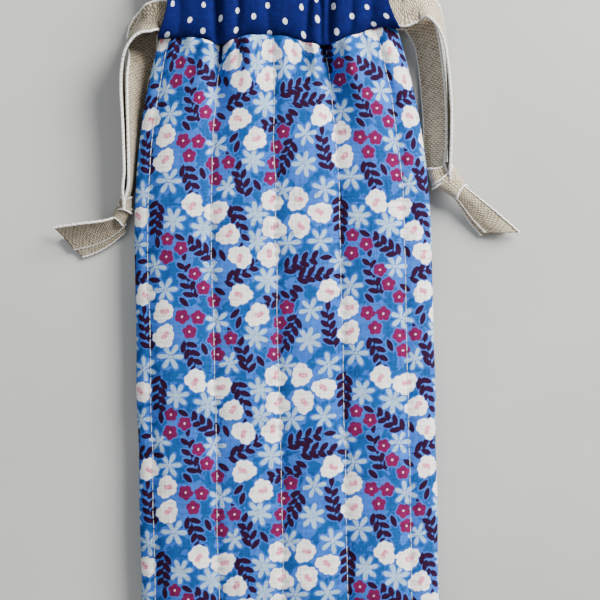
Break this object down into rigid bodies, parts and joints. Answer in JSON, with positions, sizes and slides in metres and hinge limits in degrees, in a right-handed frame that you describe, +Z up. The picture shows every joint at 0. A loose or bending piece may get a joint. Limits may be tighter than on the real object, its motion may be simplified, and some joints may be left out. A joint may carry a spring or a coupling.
{
  "type": "drawstring glasses case",
  "caption": "Soft quilted fabric pouch for a pair of glasses, lined and closed by two tape drawstrings in casings at its mouth.",
  "frame": {"origin": "on the surface that the pouch lies on, at the middle of its outline", "axes": "+X across the pouch, +Y along it towards the mouth, +Z up out of its front"},
  "size_m": [0.1436, 0.215, 0.015],
  "materials": {
    "floral cotton": "matt woven cotton, printed",
    "navy spotted cotton": "matt woven cotton, printed",
    "wadding": "matt",
    "quilting thread": "matt",
    "sewing thread": "matt",
    "linen tape": "matt woven linen"
  },
  "bodies": {
    "pouch": {"casing_back": "navy spotted cotton", "casing_front": "navy spotted cotton", "casing_seam_thread_back": "sewing thread", "casing_seam_thread_front": "sewing thread", "left_drawstring_turn": "linen tape", "lining_back": "navy spotted cotton", "lining_front": "navy spotted cotton", "outer_back": "floral cotton", "outer_front": "floral cotton", "quilting_thread_back_1": "quilting thread", "quilting_thread_back_2": "quilting thread", "quilting_thread_back_3": "quilting thread", "quilting_thread_back_4": "quilting thread", "quilting_thread_back_5": "quilting thread", "quilting_thread_front_1": "quilting thread", "quilting_thread_front_2": "quilting thread", "quilting_thread_front_3": "quilting thread", "quilting_thread_front_4": "quilting thread", "quilting_thread_front_5": "quilting thread", "right_drawstring_turn": "linen tape", "side_and_bottom_seam_thread": "sewing thread", "wadding_back": "wadding", "wadding_front": "wadding"},
    "left_drawstring": {"left_drawstring_back_strand": "linen tape", "left_drawstring_front_strand": "linen tape", "left_drawstring_knot": "linen tape", "left_drawstring_lower_tail": "linen tape", "left_drawstring_upper_tail": "linen tape"},
    "right_drawstring": {"right_drawstring_back_strand": "linen tape", "right_drawstring_front_strand": "linen tape", "right_drawstring_knot": "linen tape", "right_drawstring_lower_tail": "linen tape", "right_drawstring_upper_tail": "linen tape"}
  },
  "joints": [
    {"name": "left_drawstring_pull", "type": "slide", "parent": "pouch", "child": "left_drawstring", "axis": [-1, 0, 0], "range_m": [0, 0.025]},
    {"name": "right_drawstring_pull", "type": "slide", "parent": "pouch", "child": "right_drawstring", "axis": [1, 0, 0], "range_m": [0, 0.025]}
  ]
}
